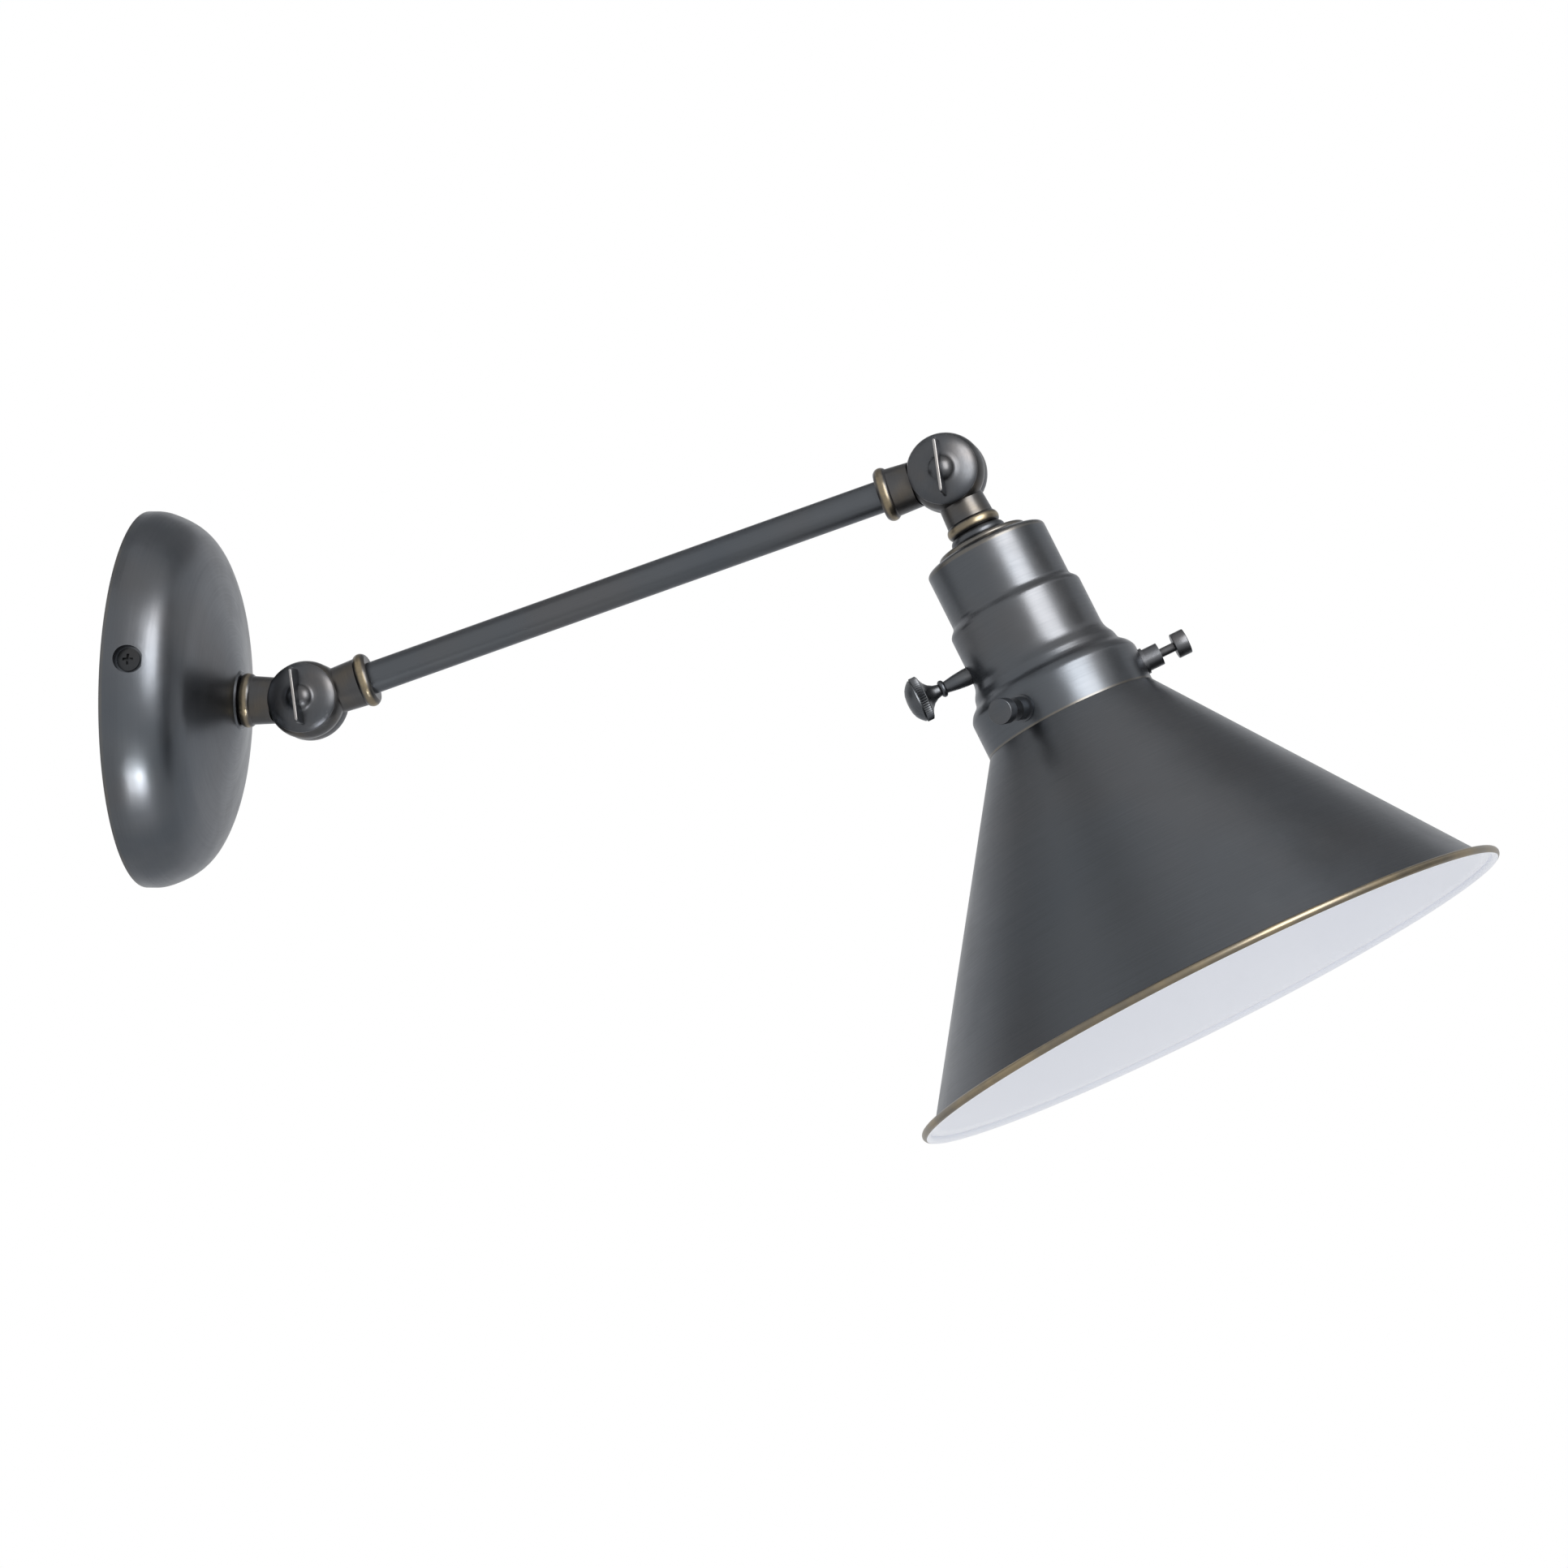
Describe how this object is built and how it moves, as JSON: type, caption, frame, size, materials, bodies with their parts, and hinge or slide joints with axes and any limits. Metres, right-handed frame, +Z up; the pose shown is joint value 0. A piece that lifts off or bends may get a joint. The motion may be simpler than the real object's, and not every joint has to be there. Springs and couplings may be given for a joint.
{
  "type": "articulating wall lamp",
  "caption": "Swing wall lamp: round canopy, straight arm between two clamped swivels, and a conical metal shade on a switched socket cup.",
  "frame": {"origin": "centre of the canopy's back, on the wall plane, between the bracket's mounting holes", "axes": "+X out of the wall, +Z up, +Y to the left of someone facing the wall; the arm swings in the plane Y = 0"},
  "size_m": [0.4543, 0.2102, 0.2351],
  "materials": {
    "dark_bronze": "satin dark bronze with brushed lines and brass-coloured wear on beads and edges",
    "gunmetal": "satin gunmetal, darker than the bodies",
    "shade_finish": "brushed dark bronze outside, satin white inside, brass-coloured wear on the rolled lip",
    "zinc_steel": "bright zinc plating",
    "green_steel": "green plating of a ground screw",
    "brass": "plain turned brass",
    "holder_brass": "drawn brass, lightly brushed",
    "screw_shell_aluminium": "bright drawn aluminium",
    "insulator": "black fibre board",
    "black_moulding": "black thermoset moulding"
  },
  "bodies": {
    "wall_base": {"canopy": "dark_bronze", "wall_bracket": "zinc_steel", "canopy_side_screws": "gunmetal", "ground_screw": "green_steel", "neck_nipple": "brass", "neck_washer": "zinc_steel", "neck_nut": "zinc_steel", "base_knuckle": "dark_bronze", "lower_friction_washer": "zinc_steel"},
    "lower_turn": {"lower_thumb_turn": "gunmetal", "lower_clamp_screw": "zinc_steel", "lower_spring_washer": "zinc_steel"},
    "arm": {"arm_lower_knuckle": "dark_bronze", "arm_tube": "dark_bronze", "arm_upper_knuckle": "dark_bronze", "upper_friction_washer": "zinc_steel"},
    "upper_turn": {"upper_thumb_turn": "gunmetal", "upper_clamp_screw": "zinc_steel", "upper_spring_washer": "zinc_steel"},
    "head": {"head_knuckle": "dark_bronze", "head_coupling_ring": "dark_bronze", "head_nipple": "brass", "head_washer": "zinc_steel", "head_nut": "zinc_steel", "socket_cup": "dark_bronze", "shade_screw_bushes": "gunmetal", "lampholder_cap": "holder_brass", "lampholder_shell": "holder_brass", "insulating_sleeve": "insulator", "switch_block": "black_moulding", "terminal_screws": "brass", "contact_plate": "black_moulding", "centre_contact": "brass", "screw_shell": "screw_shell_aluminium", "shade": "shade_finish"},
    "knob": {"switch_knob": "gunmetal", "switch_spindle": "brass"},
    "shade_screw_a": {"shade_screw_1": "gunmetal"},
    "shade_screw_b": {"shade_screw_2": "gunmetal"},
    "shade_screw_c": {"shade_screw_3": "gunmetal"}
  },
  "joints": [
    {"name": "arm_tilt", "type": "hinge", "parent": "wall_base", "child": "arm", "pos_m": [0.055, 0, 0], "axis": [0, 1, 0], "range_deg": [-60, 60]},
    {"name": "lower_thumb", "type": "hinge", "parent": "wall_base", "child": "lower_turn", "pos_m": [0.055, 0, 0], "axis": [0, -1, 0], "range_deg": [0, 270]},
    {"name": "head_tilt", "type": "hinge", "parent": "arm", "child": "head", "pos_m": [0.27009, 0, 0.07744], "axis": [0, 1, 0], "range_deg": [-90, 20]},
    {"name": "upper_thumb", "type": "hinge", "parent": "arm", "child": "upper_turn", "pos_m": [0.27009, 0, 0.07744], "axis": [0, -1, 0], "range_deg": [0, 270]},
    {"name": "switch_turn", "type": "hinge", "parent": "head", "child": "knob", "pos_m": [0.30027, 0, 0.02043], "axis": [-0.8703, -0.1736, -0.4608], "continuous": true},
    {"name": "shade_screw_1_turn", "type": "hinge", "parent": "head", "child": "shade_screw_a", "pos_m": [0.31019, 0, 0.0017], "axis": [0.8729, 0.1564, 0.4622], "range_deg": [0, 720]},
    {"name": "shade_screw_2_turn", "type": "hinge", "parent": "head", "child": "shade_screw_b", "pos_m": [0.31019, 0, 0.0017], "axis": [-0.3167, -0.9336, -0.1677], "range_deg": [0, 720]},
    {"name": "shade_screw_3_turn", "type": "hinge", "parent": "head", "child": "shade_screw_c", "pos_m": [0.31019, 0, 0.0017], "axis": [-0.5562, 0.7771, -0.2945], "range_deg": [0, 720]}
  ]
}
